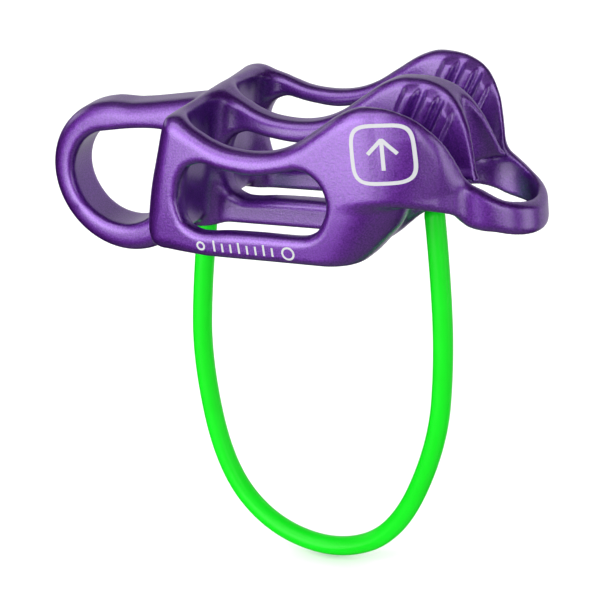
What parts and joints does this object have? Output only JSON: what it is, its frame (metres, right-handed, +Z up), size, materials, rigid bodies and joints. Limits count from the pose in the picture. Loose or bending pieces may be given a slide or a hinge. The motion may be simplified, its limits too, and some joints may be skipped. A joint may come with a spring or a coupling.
{
  "type": "belay device",
  "caption": "Tube-style belay device: two rope slots with toothed grooves, a guide ring, a nose with a release hole, and a coated wire keeper loop.",
  "frame": {"origin": "centre of the round end of the guide ring, on the device's centre plane", "axes": "+X from the guide ring to the nose, +Y across the rope slots, +Z up out of the rope slots' top side; the keeper loop hangs towards -Z"},
  "size_m": [0.0891, 0.036, 0.0894],
  "materials": {
    "anodised": "satin purple anodised, forged",
    "jacket": "bright green, glossy",
    "wire": "stranded steel",
    "ferrule": "plain, crimped"
  },
  "bodies": {
    "body": {"forged_body": "anodised", "ring_end_tail": "jacket", "ring_end_ferrule": "ferrule", "nose_end_tail": "jacket", "nose_end_ferrule": "ferrule"},
    "keeper": {"keeper_jacket": "jacket", "keeper_wire": "wire"}
  },
  "joints": [
    {"name": "keeper_swing", "type": "hinge", "parent": "body", "child": "keeper", "pos_m": [0.0148, 0, -0.0081], "axis": [0.9953, 0, 0.0967], "range_deg": [-30, 30], "stiffness_Nm_per_rad": 0.004}
  ]
}
